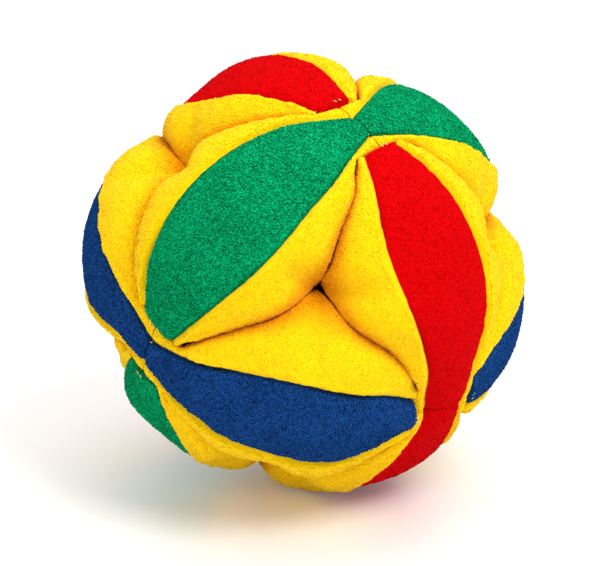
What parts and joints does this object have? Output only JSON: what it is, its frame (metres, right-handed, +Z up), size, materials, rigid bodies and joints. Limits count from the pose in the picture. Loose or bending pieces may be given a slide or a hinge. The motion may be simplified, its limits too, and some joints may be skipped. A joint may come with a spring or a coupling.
{
  "type": "sensory ball",
  "caption": "Soft sewn fleece clutch ball of interlocked rings of stuffed wedges, with three-sided hollows for small fingers to grip.",
  "frame": {"origin": "on the surface it rests on, under the middle of the ball", "axes": "+Z up from the resting surface; -Y towards the viewer, +X to the viewer's right"},
  "size_m": [0.1616, 0.1576, 0.1624],
  "materials": {
    "green_fleece": "soft anti-pill fleece with a short curly pile",
    "blue_fleece": "soft anti-pill fleece with a short curly pile",
    "red_fleece": "soft anti-pill fleece with a short curly pile",
    "yellow_fleece": "soft anti-pill fleece with a short curly pile",
    "polyester_fill": "loose polyester fibre stuffing",
    "sewing_thread": "matt spun polyester thread through folded fleece"
  },
  "bodies": {
    "waist_seams": {"green_waist_seam_1": "sewing_thread", "green_waist_seam_2": "sewing_thread", "green_waist_seam_3": "sewing_thread", "green_waist_seam_4": "sewing_thread", "blue_waist_seam_1": "sewing_thread", "blue_waist_seam_2": "sewing_thread", "blue_waist_seam_3": "sewing_thread", "blue_waist_seam_4": "sewing_thread", "red_waist_seam_1": "sewing_thread", "red_waist_seam_2": "sewing_thread", "red_waist_seam_3": "sewing_thread", "red_waist_seam_4": "sewing_thread"},
    "green_wedge_1": {"green_panel_1": "green_fleece", "green_casing_1": "yellow_fleece", "green_fill_1": "polyester_fill"},
    "green_wedge_2": {"green_panel_2": "green_fleece", "green_casing_2": "yellow_fleece", "green_fill_2": "polyester_fill"},
    "green_wedge_3": {"green_panel_3": "green_fleece", "green_casing_3": "yellow_fleece", "green_fill_3": "polyester_fill"},
    "green_wedge_4": {"green_panel_4": "green_fleece", "green_casing_4": "yellow_fleece", "green_fill_4": "polyester_fill"},
    "blue_wedge_1": {"blue_panel_1": "blue_fleece", "blue_casing_1": "yellow_fleece", "blue_fill_1": "polyester_fill"},
    "blue_wedge_2": {"blue_panel_2": "blue_fleece", "blue_casing_2": "yellow_fleece", "blue_fill_2": "polyester_fill"},
    "blue_wedge_3": {"blue_panel_3": "blue_fleece", "blue_casing_3": "yellow_fleece", "blue_fill_3": "polyester_fill"},
    "blue_wedge_4": {"blue_panel_4": "blue_fleece", "blue_casing_4": "yellow_fleece", "blue_fill_4": "polyester_fill"},
    "red_wedge_1": {"red_panel_1": "red_fleece", "red_casing_1": "yellow_fleece", "red_fill_1": "polyester_fill"},
    "red_wedge_2": {"red_panel_2": "red_fleece", "red_casing_2": "yellow_fleece", "red_fill_2": "polyester_fill"},
    "red_wedge_3": {"red_panel_3": "red_fleece", "red_casing_3": "yellow_fleece", "red_fill_3": "polyester_fill"},
    "red_wedge_4": {"red_panel_4": "red_fleece", "red_casing_4": "yellow_fleece", "red_fill_4": "polyester_fill"}
  },
  "joints": [
    {"name": "green_rock_1", "type": "hinge", "parent": "waist_seams", "child": "green_wedge_1", "pos_m": [-0.01457, -0.03751, 0.10826], "axis": [-0.6681, -0.118, -0.7347], "range_deg": [-2, 2], "stiffness_Nm_per_rad": 1.5},
    {"name": "green_rock_2", "type": "hinge", "parent": "waist_seams", "child": "green_wedge_2", "pos_m": [-0.03254, -0.00575, 0.04504], "axis": [-0.2991, -0.7702, 0.5633], "range_deg": [-2, 2], "stiffness_Nm_per_rad": 1.5},
    {"name": "green_rock_3", "type": "hinge", "parent": "waist_seams", "child": "green_wedge_3", "pos_m": [0.01457, 0.03751, 0.05339], "axis": [0.6681, 0.118, 0.7347], "range_deg": [-2, 2], "stiffness_Nm_per_rad": 1.5},
    {"name": "green_rock_4", "type": "hinge", "parent": "waist_seams", "child": "green_wedge_4", "pos_m": [0.03254, 0.00575, 0.11661], "axis": [0.2991, 0.7702, -0.5633], "range_deg": [-2, 2], "stiffness_Nm_per_rad": 1.5},
    {"name": "blue_rock_1", "type": "hinge", "parent": "waist_seams", "child": "blue_wedge_1", "pos_m": [-0.00611, -0.04385, 0.06052], "axis": [0.9692, 0.1049, -0.2228], "range_deg": [-2, 2], "stiffness_Nm_per_rad": 1.5},
    {"name": "blue_rock_2", "type": "hinge", "parent": "waist_seams", "child": "blue_wedge_2", "pos_m": [0.04721, 0.00511, 0.06997], "axis": [-0.1254, -0.9003, -0.4168], "range_deg": [-2, 2], "stiffness_Nm_per_rad": 1.5},
    {"name": "blue_rock_3", "type": "hinge", "parent": "waist_seams", "child": "blue_wedge_3", "pos_m": [0.00611, 0.04385, 0.10112], "axis": [-0.9692, -0.1049, 0.2228], "range_deg": [-2, 2], "stiffness_Nm_per_rad": 1.5},
    {"name": "blue_rock_4", "type": "hinge", "parent": "waist_seams", "child": "blue_wedge_4", "pos_m": [-0.04721, -0.00511, 0.09167], "axis": [0.1254, 0.9003, 0.4168], "range_deg": [-2, 2], "stiffness_Nm_per_rad": 1.5},
    {"name": "red_rock_1", "type": "hinge", "parent": "waist_seams", "child": "red_wedge_1", "pos_m": [0.0312, -0.03596, 0.09112], "axis": [-0.3145, 0.162, 0.9353], "range_deg": [-2, 2], "stiffness_Nm_per_rad": 1.5},
    {"name": "red_rock_2", "type": "hinge", "parent": "waist_seams", "child": "red_wedge_2", "pos_m": [-0.01532, 0.00789, 0.12638], "axis": [0.6405, -0.7382, 0.2115], "range_deg": [-2, 2], "stiffness_Nm_per_rad": 1.5},
    {"name": "red_rock_3", "type": "hinge", "parent": "waist_seams", "child": "red_wedge_3", "pos_m": [-0.0312, 0.03596, 0.07052], "axis": [0.3145, -0.162, -0.9353], "range_deg": [-2, 2], "stiffness_Nm_per_rad": 1.5},
    {"name": "red_rock_4", "type": "hinge", "parent": "waist_seams", "child": "red_wedge_4", "pos_m": [0.01532, -0.00789, 0.03526], "axis": [-0.6405, 0.7382, -0.2115], "range_deg": [-2, 2], "stiffness_Nm_per_rad": 1.5}
  ]
}
